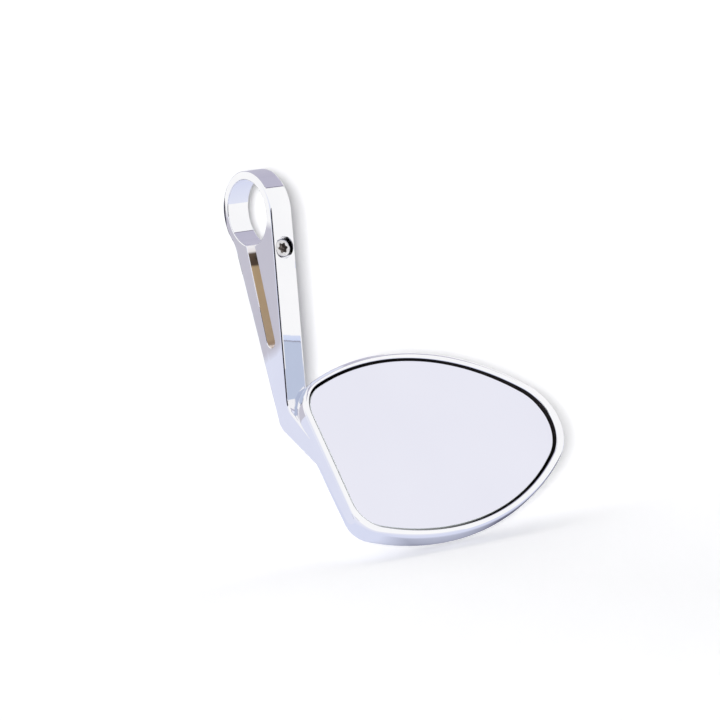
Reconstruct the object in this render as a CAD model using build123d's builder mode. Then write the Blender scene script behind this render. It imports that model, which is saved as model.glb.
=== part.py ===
# Motorcycle bar end mirror: a split clamp ring, slotted arm and mirror housing cast as one piece,
# with a convex glass that tilts on a ball stud inside the housing.
# Frame: origin on the clamp bore's axis at the middle of the arm's thickness, +X along the bore
# (outboard), +Y forward, +Z up. All lengths in millimetres, all angles in degrees.
import os
from math import atan2, cos, degrees, radians, sin, sqrt

from build123d import *

# Clamp ring and arm
bore_diameter = 31.75
ring_wall = 4.0
arm_thickness = 12.0
arm_rear_lean = 16.4
neck_inset = 3.2
neck_radius = 12.0
edge_break = 0.8

# Clamping slot
slot_width = 6.5
slot_lean = 12.8
slot_offset = 2.9
slot_reach = 64.5

# Elbow and lower arm
elbow_drop = 91.6
elbow_inner_radius = 7.0
elbow_outer_radius = 6.5
lower_arm_front_lean = 51.6
lower_arm_rear_lean = 59.6
lower_arm_depth = 12.4
web_depth = 8.2
web_reach = 26.0
web_blend_radius = 28.0

# Mirror housing
head_reach = 36.8
head_offset = 0.7
glass_tilt = 33.6
head_length = 139.5
head_width = 98.4
upper_flat = 23.5
upper_corner_radius = 19.0
lower_flat = 29.0
lower_corner_radius = 14.0
head_tip_radius = 26.5
housing_wall = 3.0
back_radius = 700.0
back_edge_radius = 11.0
rim_left = 3.9
rim_side = 4.6
rim_tip = 6.2
rim_outer_round = 1.9
rim_inner_break = 0.5
recess_floor_break = 2.5

# Clamp screw
screw_drop = 16.4
screw_diameter = 5.0
screw_length = 22.0
screw_head_diameter = 8.5
screw_head_height = 5.0
screw_head_sink = 1.3
counterbore_diameter = 10.2
screw_hole_clearance = 0.25
lobe_circle_diameter = 3.9
lobe_diameter = 1.4
lobe_depth = 2.8
thread_clearance = 0.05
thread_runout = 1.0

# Glass, pad and carrier
glass_gap = 1.2
glass_sink = 0.1
glass_thickness = 2.0
glass_curve_radius = 1400.0
glass_flat = 23.7
glass_corner_radius = 15.0
glass_tip_radius = 23.0
pad_thickness = 0.8
carrier_thickness = 1.8
carrier_inset = 10.0
rib_count = 6
rib_length = 30.0
rib_width = 1.2
rib_height = 1.5

# Ball joint
ball_diameter = 7.0
ball_clearance = 0.05
ball_flat_height = 2.2
cup_wall = 1.2
cup_drop = 1.8
cup_rise = 1.8
socket_crown = 0.65
socket_wall = 1.65
socket_drop = 2.0
socket_floor_gap = 0.9
slit_width = 1.0
slit_height = 3.0
clip_thickness = 0.6
clip_width = 1.2
clip_rise = 0.4
stud_neck_diameter = 3.8
stud_hex = 8.0
stud_hex_height = 1.4
stud_thread_diameter = 5.0
stud_end_wall = 1.0
boss_diameter = 13.0
boss_height = 2.9

# Derived radii and depths; depths run into the housing from the plane of its rim
bore_radius = bore_diameter / 2
ring_radius = bore_radius + ring_wall
half_thickness = arm_thickness / 2
glass_length = head_length - rim_left - rim_tip
glass_width = head_width - 2 * rim_side
pivot_reach = 0.445 * head_length
ball_radius = ball_diameter / 2
cup_inner_radius = ball_radius + ball_clearance
cup_outer_radius = ball_radius + cup_wall
socket_radius = cup_outer_radius + ball_clearance
socket_outer_radius = socket_radius + socket_wall
glass_back_depth = glass_sink + glass_thickness
pad_back_depth = glass_back_depth + pad_thickness
carrier_back_depth = pad_back_depth + carrier_thickness
ball_depth = pad_back_depth + socket_crown + socket_radius
socket_end_depth = ball_depth + socket_drop
hex_top_depth = socket_end_depth + socket_floor_gap
boss_top_depth = hex_top_depth + stud_hex_height
floor_depth = boss_top_depth + boss_height
housing_depth = floor_depth + housing_wall
stud_end_depth = housing_depth - stud_end_wall
seat_depth = screw_head_sink + screw_head_height


# Unit direction in the YZ plane that runs down and leans towards the glass by the angle
def lean_down(angle):
    return Vector(-sin(radians(angle)), -cos(radians(angle)))


# Unit direction square to lean_down, towards the rear of the arm
def lean_back(angle):
    return Vector(cos(radians(angle)), -sin(radians(angle)))


# Point where a line from start meets the line through anchor that is square to normal
def run_to(start, direction, anchor, normal):
    return start + direction * ((anchor - start).dot(normal) / direction.dot(normal))


# Arm outline corners as (y, z) and the plane of the housing's rim
front_lean = lean_down(lower_arm_front_lean)
rear_lean = lean_down(lower_arm_rear_lean)
elbow_inner = Vector(-ring_radius, -elbow_drop)
rim_point = elbow_inner + front_lean * head_reach - lean_back(lower_arm_front_lean) * head_offset
rim_inward = Vector(cos(radians(glass_tilt)), -sin(radians(glass_tilt)))
rear_anchor = lean_back(arm_rear_lean) * (ring_radius - neck_inset)
rear_top = run_to(rear_anchor, lean_down(arm_rear_lean), Vector(0, 0), Vector(0, 1))
lower_rear_anchor = elbow_inner + lean_back(lower_arm_rear_lean) * lower_arm_depth
elbow_outer = run_to(rear_anchor, lean_down(arm_rear_lean), lower_rear_anchor, lean_back(lower_arm_rear_lean))
arm_end = rim_point + rim_inward * (2 * rim_outer_round)
front_end = run_to(elbow_inner, front_lean, arm_end, rim_inward)
web_corner = run_to(elbow_outer, rear_lean, rim_point + rim_inward * web_depth, rim_inward)
web_end = arm_end + lean_down(glass_tilt) * web_reach

rim_plane = Plane(
    origin=(-half_thickness, rim_point.X, rim_point.Y),
    x_dir=(1, 0, 0),
    z_dir=(0, -rim_inward.X, -rim_inward.Y),
)
pivot_plane = Plane(
    origin=rim_plane.from_local_coords((pivot_reach, 0, 0)),
    x_dir=rim_plane.x_dir,
    z_dir=rim_plane.z_dir,
)
ball_plane = pivot_plane.offset(-ball_depth)
back_centre = pivot_plane.offset(back_radius - housing_depth).origin
glass_centre = pivot_plane.offset(-glass_sink - glass_curve_radius).origin
screw_plane = Plane(
    origin=(0, -ring_radius, -screw_drop),
    x_dir=(1, 0, 0),
    z_dir=(0, -cos(radians(slot_lean)), sin(radians(slot_lean))),
)
slot_start = lean_back(slot_lean) * slot_offset
slot_end = slot_start + lean_down(slot_lean) * (slot_reach - slot_width / 2)
screw_to_slot = (slot_start - Vector(-ring_radius, -screw_drop)).dot(lean_back(slot_lean))


# Half of an egg outline above (side 1) or below (side -1) the long axis: corner, long arc and tip,
# each tangent to the next, with the flat side at start
def half_egg(side, start, length, half_width, flat, corner, tip):
    reach = length - tip
    shoulder = half_width - flat
    corner_rise = shoulder - corner
    tip_rise = half_width - tip
    a = corner_rise - tip_rise
    b = reach * corner_rise - corner * tip_rise
    c = (reach**2 + half_width**2 - tip**2) * corner_rise - shoulder**2 * tip_rise
    along = (b + sqrt(b * b - a * c)) / a
    if not 0 < along < length:
        along = (b - sqrt(b * b - a * c)) / a
    sweep = (along**2 - 2 * along * corner + shoulder**2) / (2 * corner_rise)
    below = half_width - sweep
    corner_angle = degrees(atan2(flat - below, corner - along))
    tip_angle = degrees(atan2(-below, reach - along))
    CenterArc((start + corner, side * flat), corner, side * 180, side * (corner_angle - 180))
    CenterArc((start + along, side * below), sweep, side * corner_angle, side * (tip_angle - corner_angle))
    CenterArc((start + reach, 0), tip, side * tip_angle, -side * tip_angle)


# Outer outline of the housing, squarer at its lower corner
def housing_outline():
    with BuildSketch(rim_plane) as outline:
        with BuildLine():
            half_egg(1, 0, head_length, head_width / 2, upper_flat, upper_corner_radius, head_tip_radius)
            half_egg(-1, 0, head_length, head_width / 2, lower_flat, lower_corner_radius, head_tip_radius)
            Line((0, -lower_flat), (0, upper_flat))
        make_face()
    return outline.sketch


# Outline of the glass, moved inwards by inset (outwards when negative)
def glass_outline(inset):
    start = rim_left + inset
    length = glass_length - 2 * inset
    half_width = glass_width / 2 - inset
    corner = glass_corner_radius - inset
    tip = glass_tip_radius - inset
    with BuildSketch(rim_plane) as outline:
        with BuildLine():
            half_egg(1, start, length, half_width, glass_flat, corner, tip)
            half_egg(-1, start, length, half_width, glass_flat, corner, tip)
            Line((start, -glass_flat), (start, glass_flat))
        make_face()
    return outline.sketch


# Clamp ring and arm as a flat plate with softened edges
with BuildPart() as arm_blank:
    with BuildSketch(Plane.YZ) as arm_outline:
        with BuildLine():
            Polyline(
                (-ring_radius, 0), rear_top, elbow_outer, web_corner, web_end, front_end, elbow_inner, close=True
            )
        make_face()
        Circle(ring_radius)
        neck_corner = arm_outline.vertices().sort_by_distance(rear_anchor)[0]
        fillet(neck_corner, neck_radius)
        fillet(arm_outline.vertices().sort_by_distance(elbow_inner)[0], elbow_inner_radius)
        fillet(arm_outline.vertices().sort_by_distance(elbow_outer)[0], elbow_outer_radius)
        fillet(arm_outline.vertices().sort_by_distance(web_corner)[0], web_blend_radius)
    extrude(amount=half_thickness, both=True)
    chamfer(arm_blank.faces().filter_by(Axis.X).edges(), edge_break)

# Housing as a solid bowl: straight side wall, rounded lip, rounded back edge and a domed back
with BuildPart() as housing_blank:
    extrude(housing_outline(), amount=-housing_depth)
    with Locations(back_centre):
        Sphere(back_radius, mode=Mode.INTERSECT)
    fillet(housing_blank.faces().filter_by(GeomType.SPHERE).edges(), back_edge_radius)
    rim_axis = Axis(rim_plane.origin, rim_plane.z_dir)
    fillet(housing_blank.faces().sort_by(rim_axis)[-1].edges(), rim_outer_round)

# Recess behind the glass, with a domed floor parallel to the back
with BuildPart() as recess:
    extrude(glass_outline(-glass_gap), amount=-housing_depth)
    with Locations(back_centre):
        Sphere(back_radius - housing_wall, mode=Mode.INTERSECT)
    chamfer(recess.faces().filter_by(GeomType.SPHERE).edges(), recess_floor_break)

# Arm and housing as one casting
with BuildPart() as arm_housing:
    add(arm_blank.part)
    add(housing_blank.part)
    add(recess.part, mode=Mode.SUBTRACT)
    with BuildSketch(pivot_plane.offset(-boss_top_depth)):
        Circle(boss_diameter / 2)
    extrude(amount=boss_top_depth - floor_depth - housing_wall / 2)
    with BuildSketch(pivot_plane.offset(-boss_top_depth)):
        Circle(stud_thread_diameter / 2 + thread_clearance)
    extrude(amount=boss_top_depth - stud_end_depth, mode=Mode.SUBTRACT)
    with BuildSketch(Plane.YZ):
        Circle(bore_radius)
    extrude(amount=arm_thickness, both=True, mode=Mode.SUBTRACT)
    with BuildSketch(Plane.YZ):
        SlotCenterPoint((slot_start + slot_end) / 2, slot_end, slot_width)
    extrude(amount=arm_thickness, both=True, mode=Mode.SUBTRACT)
    with BuildSketch(screw_plane.offset(-seat_depth)):
        Circle(counterbore_diameter / 2)
    extrude(amount=2 * seat_depth, mode=Mode.SUBTRACT)
    with BuildSketch(screw_plane.offset(-seat_depth)):
        Circle(screw_diameter / 2 + screw_hole_clearance)
    extrude(amount=seat_depth - screw_to_slot, mode=Mode.SUBTRACT)
    with BuildSketch(screw_plane.offset(-screw_to_slot)):
        Circle(screw_diameter / 2 + thread_clearance)
    extrude(amount=screw_to_slot - seat_depth - screw_length - thread_runout, mode=Mode.SUBTRACT)
    rim_face = arm_housing.faces().filter_by(rim_axis).sort_by(rim_axis)[-1]
    chamfer(rim_face.inner_wires()[0].edges(), rim_inner_break)

# Socket cap screw through the front wall and slot, threaded into the rear wall
with BuildPart() as clamp_screw:
    with BuildSketch(screw_plane.offset(-seat_depth)):
        Circle(screw_head_diameter / 2)
    extrude(amount=screw_head_height)
    chamfer(clamp_screw.edges().sort_by(Axis(screw_plane.origin, screw_plane.z_dir))[-1], edge_break)
    with BuildSketch(screw_plane.offset(-screw_head_sink)):
        Circle(lobe_circle_diameter / 2)
        with PolarLocations(lobe_circle_diameter / 2, 6):
            Circle(lobe_diameter / 2)
    extrude(amount=-lobe_depth, mode=Mode.SUBTRACT)
    with BuildSketch(screw_plane.offset(-seat_depth)):
        Circle(screw_diameter / 2)
    extrude(amount=-screw_length)

# Convex mirror glass
with BuildPart() as mirror_glass:
    extrude(glass_outline(0), amount=-housing_depth)
    with Locations(glass_centre):
        Sphere(glass_curve_radius, mode=Mode.INTERSECT)
        Sphere(glass_curve_radius - glass_thickness, mode=Mode.SUBTRACT)

# Foam adhesive sheet behind the glass
with BuildPart() as glass_pad:
    pad_front_radius = glass_curve_radius - glass_thickness
    extrude(glass_outline(carrier_inset), amount=-housing_depth)
    with Locations(glass_centre):
        Sphere(pad_front_radius, mode=Mode.INTERSECT)
        Sphere(pad_front_radius - pad_thickness, mode=Mode.SUBTRACT)

# Carrier plate with ribs and a split socket
with BuildPart() as glass_carrier:
    carrier_front_radius = pad_front_radius - pad_thickness
    extrude(glass_outline(carrier_inset), amount=-housing_depth)
    with Locations(glass_centre):
        Sphere(carrier_front_radius, mode=Mode.INTERSECT)
        Sphere(carrier_front_radius - carrier_thickness, mode=Mode.SUBTRACT)
    with BuildSketch(pivot_plane.offset(-carrier_back_depth - rib_height)):
        with PolarLocations(rib_length / 2, rib_count):
            Rectangle(rib_length, rib_width)
    extrude(amount=rib_height + carrier_thickness / 2)
    with BuildSketch(pivot_plane.offset(-socket_end_depth)):
        Circle(socket_outer_radius)
    extrude(amount=socket_end_depth - carrier_back_depth + carrier_thickness / 2)
    with BuildSketch(pivot_plane.offset(-socket_end_depth)):
        Rectangle(2.2 * socket_outer_radius, slit_width)
        Rectangle(slit_width, 2.2 * socket_outer_radius)
    extrude(amount=slit_height, mode=Mode.SUBTRACT)
    with Locations(ball_plane.origin):
        Sphere(socket_radius, mode=Mode.SUBTRACT)

# Nylon cup between ball and socket, open at both ends
with BuildPart(ball_plane) as bearing_cup:
    cup_height = cup_rise + cup_drop
    with Locations((0, 0, -cup_drop)):
        Cylinder(cup_outer_radius, cup_height, align=(Align.CENTER, Align.CENTER, Align.MIN))
    Sphere(cup_outer_radius, mode=Mode.INTERSECT)
    Sphere(cup_inner_radius, mode=Mode.SUBTRACT)

# Spring clip round the socket's fingers
with BuildPart() as socket_ring:
    with BuildSketch(pivot_plane.offset(-socket_end_depth + clip_rise)):
        Circle(socket_outer_radius + clip_thickness)
        Circle(socket_outer_radius, mode=Mode.SUBTRACT)
    extrude(amount=clip_width)

# Ball stud with a flat crown and a hexagon flange, screwed into the housing's boss
with BuildPart() as ball_stud:
    with Locations(ball_plane.origin):
        Sphere(ball_radius)
    with BuildSketch(ball_plane.offset(ball_flat_height)):
        Circle(ball_radius)
    extrude(amount=ball_radius, mode=Mode.SUBTRACT)
    with BuildSketch(ball_plane):
        Circle(stud_neck_diameter / 2)
    extrude(amount=ball_depth - boss_top_depth)
    with BuildSketch(pivot_plane.offset(-boss_top_depth)):
        RegularPolygon(stud_hex / 2, 6, major_radius=False)
    extrude(amount=stud_hex_height)
    with BuildSketch(pivot_plane.offset(-boss_top_depth)):
        Circle(stud_thread_diameter / 2)
    extrude(amount=boss_top_depth - stud_end_depth)

os.makedirs("parts", exist_ok=True)
arm_housing.part.label = "arm_housing"
export_step(arm_housing.part, "parts/arm_housing.step")
clamp_screw.part.label = "clamp_screw"
export_step(clamp_screw.part, "parts/clamp_screw.step")
mirror_glass.part.label = "mirror_glass"
export_step(mirror_glass.part, "parts/mirror_glass.step")
glass_pad.part.label = "glass_pad"
export_step(glass_pad.part, "parts/glass_pad.step")
glass_carrier.part.label = "glass_carrier"
export_step(glass_carrier.part, "parts/glass_carrier.step")
bearing_cup.part.label = "bearing_cup"
export_step(bearing_cup.part, "parts/bearing_cup.step")
socket_ring.part.label = "socket_ring"
export_step(socket_ring.part, "parts/socket_ring.step")
ball_stud.part.label = "ball_stud"
export_step(ball_stud.part, "parts/ball_stud.step")
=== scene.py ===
from math import acos, asin, atan2, cos, degrees, pi, radians, sin, sqrt, tan

import bmesh
import bpy
from mathutils import Matrix, Vector


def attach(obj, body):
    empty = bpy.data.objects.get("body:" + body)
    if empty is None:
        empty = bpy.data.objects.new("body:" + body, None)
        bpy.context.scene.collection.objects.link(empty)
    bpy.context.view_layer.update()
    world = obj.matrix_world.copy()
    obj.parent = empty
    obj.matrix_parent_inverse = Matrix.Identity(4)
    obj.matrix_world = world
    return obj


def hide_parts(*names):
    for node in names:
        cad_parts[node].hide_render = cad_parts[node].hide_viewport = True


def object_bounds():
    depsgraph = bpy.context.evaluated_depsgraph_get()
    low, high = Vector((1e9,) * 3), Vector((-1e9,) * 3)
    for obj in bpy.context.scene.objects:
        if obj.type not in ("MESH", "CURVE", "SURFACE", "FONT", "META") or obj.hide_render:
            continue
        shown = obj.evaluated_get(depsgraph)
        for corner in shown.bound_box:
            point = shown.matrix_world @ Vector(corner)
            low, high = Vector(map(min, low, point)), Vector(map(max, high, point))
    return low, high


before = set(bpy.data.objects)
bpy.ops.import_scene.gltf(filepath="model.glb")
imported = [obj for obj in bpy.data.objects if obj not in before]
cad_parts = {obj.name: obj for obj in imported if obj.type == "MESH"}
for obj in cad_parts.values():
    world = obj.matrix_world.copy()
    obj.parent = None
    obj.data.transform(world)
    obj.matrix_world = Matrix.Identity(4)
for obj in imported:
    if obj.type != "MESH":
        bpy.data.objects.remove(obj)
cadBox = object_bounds()
scene = bpy.context.scene
scene.view_settings.view_transform = "Standard"
mm = 0.001  # every size below is in millimetres


# Direction down the arm, leaning towards the glass, in the plane across the bore
def leanDown(angle):
    return Vector((-sin(radians(angle)), -cos(radians(angle))))


def leanBack(angle):
    return Vector((cos(radians(angle)), -sin(radians(angle))))


def meetLine(start, direction, anchor, normal):
    return start + direction * ((anchor - start).dot(normal) / direction.dot(normal))


# Points and outward normals along an arc; turn is 1 for an outside curve and -1 for a hollow one
def arcRun(centre, radius, fromAngle, toAngle, steps, turn=1):
    run = []
    for k in range(steps + 1):
        a = radians(fromAngle + (toAngle - fromAngle) * k / steps)
        spoke = Vector((cos(a), sin(a)))
        run.append((centre + spoke * radius, spoke * turn))
    return run


# Rounded corner between two straight runs of an outline that goes clockwise
def cornerRun(before, corner, after, radius, steps):
    towardBefore = (before - corner).normalized()
    towardAfter = (after - corner).normalized()
    half = towardBefore.angle(towardAfter) / 2
    centre = corner + (towardBefore + towardAfter).normalized() * (radius / sin(half))
    first = (corner + towardBefore * (radius / tan(half)) - centre).normalized()
    last = (corner + towardAfter * (radius / tan(half)) - centre).normalized()
    rightTurn = towardBefore.x * towardAfter.y - towardBefore.y * towardAfter.x < 0
    turn = -1 if rightTurn else 1
    run = []
    for k in range(steps + 1):
        spoke = first.slerp(last, k / steps)
        run.append((centre + spoke * radius, spoke * turn))
    return run


# Mesh from a row of closed loops with equal point counts, capped at both ends
def skinLoops(name, loops):
    build = bmesh.new()
    rings = [[build.verts.new(point * mm) for point in loop] for loop in loops]
    count = len(rings[0])
    for ringA, ringB in zip(rings, rings[1:]):
        for k in range(count):
            n = (k + 1) % count
            build.faces.new((ringA[k], ringA[n], ringB[n], ringB[k]))
    build.faces.new(list(reversed(rings[0])))
    build.faces.new(rings[-1])
    bmesh.ops.recalc_face_normals(build, faces=build.faces)
    mesh = bpy.data.meshes.new(name)
    build.to_mesh(mesh)
    build.free()
    piece = bpy.data.objects.new(name, mesh)
    scene.collection.objects.link(piece)
    return piece


# Loops of a turned profile, given as (radius, distance along the axis)
def turnedLoops(origin, axis, across, profile, sides):
    along = axis.normalized()
    first = across.normalized()
    second = along.cross(first)
    loops = []
    for radius, distance in profile:
        ring = []
        for k in range(sides):
            a = 2 * pi * k / sides
            ring.append(origin + along * distance + (first * cos(a) + second * sin(a)) * radius)
        loops.append(ring)
    return loops


# Joins or cuts with another closed mesh, which is then deleted
def combine(target, tool, operation):
    step = target.modifiers.new("combine", "BOOLEAN")
    step.operation = operation
    step.solver = "EXACT"
    step.object = tool
    bpy.context.view_layer.update()
    evaluated = target.evaluated_get(bpy.context.evaluated_depsgraph_get())
    mesh = bpy.data.meshes.new_from_object(evaluated)
    target.modifiers.remove(step)
    old = target.data
    target.data = mesh
    bpy.data.meshes.remove(old)
    oldTool = tool.data
    bpy.data.objects.remove(tool)
    bpy.data.meshes.remove(oldTool)


# Smooth shading with crisp edges where faces meet at more than the angle
def smoothBetween(piece, angle):
    build = bmesh.new()
    build.from_mesh(piece.data)
    bmesh.ops.remove_doubles(build, verts=build.verts, dist=0.002 * mm)
    bmesh.ops.dissolve_degenerate(build, edges=build.edges, dist=0.001 * mm)
    for face in build.faces:
        face.smooth = True
    for edge in build.edges:
        edge.smooth = len(edge.link_faces) == 2 and edge.calc_face_angle() < radians(angle)
    build.to_mesh(piece.data)
    build.free()
    shading = piece.modifiers.new("weightedNormals", "WEIGHTED_NORMAL")
    shading.keep_sharp = True
    shading.weight = 50


# Clamp ring, slotted arm and elbow of the casting
clampArm = {
    "boreRadius": 15.875,
    "ringWall": 4.0,
    "thickness": 12.0,
    "rearLean": 16.4,
    "neckInset": 3.2,
    "neckRadius": 12.0,
    "edgeRound": 1.0,
    "elbowDrop": 91.6,
    "elbowInnerRadius": 7.0,
    "elbowOuterRadius": 6.5,
    "lowerFrontLean": 51.6,
    "lowerRearLean": 59.6,
    "lowerDepth": 12.4,
    "webDepth": 8.2,
    "webReach": 26.0,
    "webRadius": 28.0,
    "sideTuck": 0.02,  # the arm's sides stay just inside the head's flat wall
    "ringSteps": 150,
    "cornerSteps": 16,
    "roundSteps": 6,
}

# Mirror head: outline in its rim plane, bowl section and recess
mirrorHead = {
    "reach": 36.8,
    "offset": 0.7,
    "tilt": 33.6,
    "length": 139.5,
    "width": 98.4,
    "upperFlat": 23.5,
    "upperCorner": 19.0,
    "lowerFlat": 29.0,
    "lowerCorner": 14.0,
    "tip": 26.5,
    "depth": 18.5,
    "wall": 3.0,
    "backRadius": 700.0,
    "backEdge": 11.0,
    "lipRound": 1.9,
    "lipInnerRound": 0.5,
    "floorBreak": 2.5,
    "pivotShare": 0.445,
    "bossRadius": 6.5,
    "bossTop": 12.6,
    "studHoleRadius": 2.55,
    "studHoleEnd": 17.5,
    "lipSteps": 10,
    "backEdgeSteps": 14,
    "domeRings": 12,
    "bossSides": 64,
    "crispAngle": 32,
}

ringRadius = clampArm["boreRadius"] + clampArm["ringWall"]
halfThickness = clampArm["thickness"] / 2
elbowInner = Vector((-ringRadius, -clampArm["elbowDrop"]))
rimPoint = elbowInner + leanDown(clampArm["lowerFrontLean"]) * mirrorHead["reach"]
rimPoint -= leanBack(clampArm["lowerFrontLean"]) * mirrorHead["offset"]

# Axes of the head: along the bore, up the glass and into the bowl
headTilt = radians(mirrorHead["tilt"])
headOrigin = Vector((-halfThickness, rimPoint.x, rimPoint.y))
headAlong = Vector((1, 0, 0))
headUp = Vector((0, sin(headTilt), cos(headTilt)))
headInward = Vector((0, cos(headTilt), -sin(headTilt)))
pivotPoint = Vector((mirrorHead["pivotShare"] * mirrorHead["length"], 0))


def headPoint(flatPoint, depth):
    return headOrigin + headAlong * flatPoint.x + headUp * flatPoint.y + headInward * depth


def headDirection(flatDirection):
    return headAlong * flatDirection.x + headUp * flatDirection.y


# Points on each stretch of an egg outline, and the share of it at which a dome or the glass is capped
eggSteps = {"corner": 20, "sweep": 64, "tip": 36, "flat": 16}
centreShare = 0.04


# Upper (side 1) or lower (side -1) half of an egg outline: corner, long arc and tip in one flow
def halfEgg(side, start, length, halfWidth, flat, corner, tip):
    reach = length - tip
    shoulder = halfWidth - flat
    cornerRise = shoulder - corner
    tipRise = halfWidth - tip
    a = cornerRise - tipRise
    b = reach * cornerRise - corner * tipRise
    c = (reach**2 + halfWidth**2 - tip**2) * cornerRise - shoulder**2 * tipRise
    along = (b + sqrt(b * b - a * c)) / a
    if not 0 < along < length:
        along = (b - sqrt(b * b - a * c)) / a
    sweep = (along**2 - 2 * along * corner + shoulder**2) / (2 * cornerRise)
    below = halfWidth - sweep
    cornerAngle = degrees(atan2(flat - below, corner - along))
    tipAngle = degrees(atan2(-below, reach - along))
    arcs = (
        (Vector((start + corner, flat)), corner, 180, cornerAngle, eggSteps["corner"]),
        (Vector((start + along, below)), sweep, cornerAngle, tipAngle, eggSteps["sweep"]),
        (Vector((start + reach, 0)), tip, tipAngle, 0, eggSteps["tip"]),
    )
    run = []
    for centre, radius, fromAngle, toAngle, steps in arcs:
        run.extend(arcRun(centre, radius, fromAngle, toAngle, steps)[:-1])
    return [(Vector((p.x, side * p.y)), Vector((n.x, side * n.y))) for p, n in run]


# Whole egg outline as (point, outward normal), with its flat side at start
def eggOutline(start, length, halfWidth, upper, lower, tip):
    upperHalf = halfEgg(1, start, length, halfWidth, upper[0], upper[1], tip)
    lowerHalf = halfEgg(-1, start, length, halfWidth, lower[0], lower[1], tip)
    outline = upperHalf + [(Vector((start + length, 0)), Vector((1, 0)))] + lowerHalf[::-1]
    flatSteps = eggSteps["flat"]
    for k in range(1, flatSteps):
        rise = -lower[0] + (upper[0] + lower[0]) * k / flatSteps
        outline.append((Vector((start, rise)), Vector((-1, 0))))
    return outline


def headOutline():
    upper = (mirrorHead["upperFlat"], mirrorHead["upperCorner"])
    lower = (mirrorHead["lowerFlat"], mirrorHead["lowerCorner"])
    return eggOutline(0, mirrorHead["length"], mirrorHead["width"] / 2, upper, lower, mirrorHead["tip"])

# Convex glass inside the head's lip
mirrorGlass = {
    "rimLeft": 3.9,
    "rimSide": 4.6,
    "rimTip": 6.2,
    "gap": 1.2,
    "sink": 0.1,
    "thickness": 2.0,
    "curveRadius": 1400.0,
    "flat": 23.7,
    "corner": 15.0,
    "tip": 23.0,
    "groundEdge": 0.35,
    "edgeSteps": 4,
    "frontRings": 14,
    "backRings": 4,
    "crispAngle": 40,
}


def glassOutline():
    length = mirrorHead["length"] - mirrorGlass["rimLeft"] - mirrorGlass["rimTip"]
    halfWidth = mirrorHead["width"] / 2 - mirrorGlass["rimSide"]
    corner = (mirrorGlass["flat"], mirrorGlass["corner"])
    return eggOutline(mirrorGlass["rimLeft"], length, halfWidth, corner, corner, mirrorGlass["tip"])


def recessOutline():
    return [(point + normal * mirrorGlass["gap"], normal) for point, normal in glassOutline()]


# Depth of a dome with its deepest point over the pivot
def domeDepth(flatPoint, deepest, radius):
    return deepest - radius + sqrt(radius**2 - (flatPoint - pivotPoint).length_squared)


# Loops that round a straight wall into a dome and run on to the dome's middle
def domeLoops(outline, deepest, domeRadius, edgeRadius, edgeSteps):
    rings = mirrorHead["domeRings"]
    shares = [1 - k / rings for k in range(1, rings)] + [centreShare]
    centre = headPoint(pivotPoint, deepest - domeRadius)
    loops = [[] for k in range(edgeSteps + 1)]
    for point, normal in outline:
        inset = point - normal * edgeRadius
        run = (inset - pivotPoint).length
        depth = deepest - domeRadius + sqrt((domeRadius - edgeRadius) ** 2 - run**2)
        hub = headPoint(inset, depth)
        outward = headDirection(normal)
        inward = (hub - centre).normalized()
        for k in range(edgeSteps + 1):
            loops[k].append(hub + outward.slerp(inward, k / edgeSteps) * edgeRadius)
    lastEdge = [Vector(((p - headOrigin).dot(headAlong), (p - headOrigin).dot(headUp))) for p in loops[-1]]
    for share in shares:
        ring = []
        for flatPoint in lastEdge:
            place = pivotPoint + (flatPoint - pivotPoint) * share
            ring.append(headPoint(place, domeDepth(place, deepest, domeRadius)))
        loops.append(ring)
    return loops


# Outline of ring and arm as (point, outward normal) in the plane across the bore, clockwise
def armOutline():
    arm = clampArm
    backDirection = leanBack(arm["rearLean"])
    rearDistance = ringRadius - arm["neckInset"]
    rearAnchor = backDirection * rearDistance
    lowerRear = elbowInner + leanBack(arm["lowerRearLean"]) * arm["lowerDepth"]
    elbowOuter = meetLine(rearAnchor, leanDown(arm["rearLean"]), lowerRear, leanBack(arm["lowerRearLean"]))
    rimInward = Vector((headInward.y, headInward.z))
    armEnd = rimPoint + rimInward * (2 * mirrorHead["lipRound"])
    frontEnd = meetLine(elbowInner, leanDown(arm["lowerFrontLean"]), armEnd, rimInward)
    webAnchor = rimPoint + rimInward * arm["webDepth"]
    webCorner = meetLine(elbowOuter, leanDown(arm["lowerRearLean"]), webAnchor, rimInward)
    webEnd = armEnd + leanDown(mirrorHead["tilt"]) * arm["webReach"]
    ringTop = Vector((-ringRadius, 0))
    # hollow curve where the ring's outside runs into the arm's rear face
    neckReach = ringRadius + arm["neckRadius"]
    neckAngle = -arm["rearLean"] - degrees(acos((rearDistance + arm["neckRadius"]) / neckReach))
    neckSpoke = Vector((cos(radians(neckAngle)), sin(radians(neckAngle))))
    neckCentre = neckSpoke * neckReach
    outline = arcRun(Vector((0, 0)), ringRadius, 180, neckAngle, arm["ringSteps"])
    for k in range(1, arm["cornerSteps"] + 1):
        spoke = (-neckSpoke).slerp(-backDirection, k / arm["cornerSteps"])
        outline.append((neckCentre + spoke * arm["neckRadius"], -spoke))
    steps = arm["cornerSteps"]
    outline += cornerRun(rearAnchor, elbowOuter, webCorner, arm["elbowOuterRadius"], steps)
    outline += cornerRun(elbowOuter, webCorner, webEnd, arm["webRadius"], steps)
    outline.append((webEnd, leanDown(arm["lowerFrontLean"])))
    outline.append((frontEnd, -rimInward))
    outline += cornerRun(frontEnd, elbowInner, ringTop, arm["elbowInnerRadius"], steps)
    return outline


def acrossPoint(flatPoint, x):
    return Vector((x, flatPoint.x, flatPoint.y))


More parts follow.
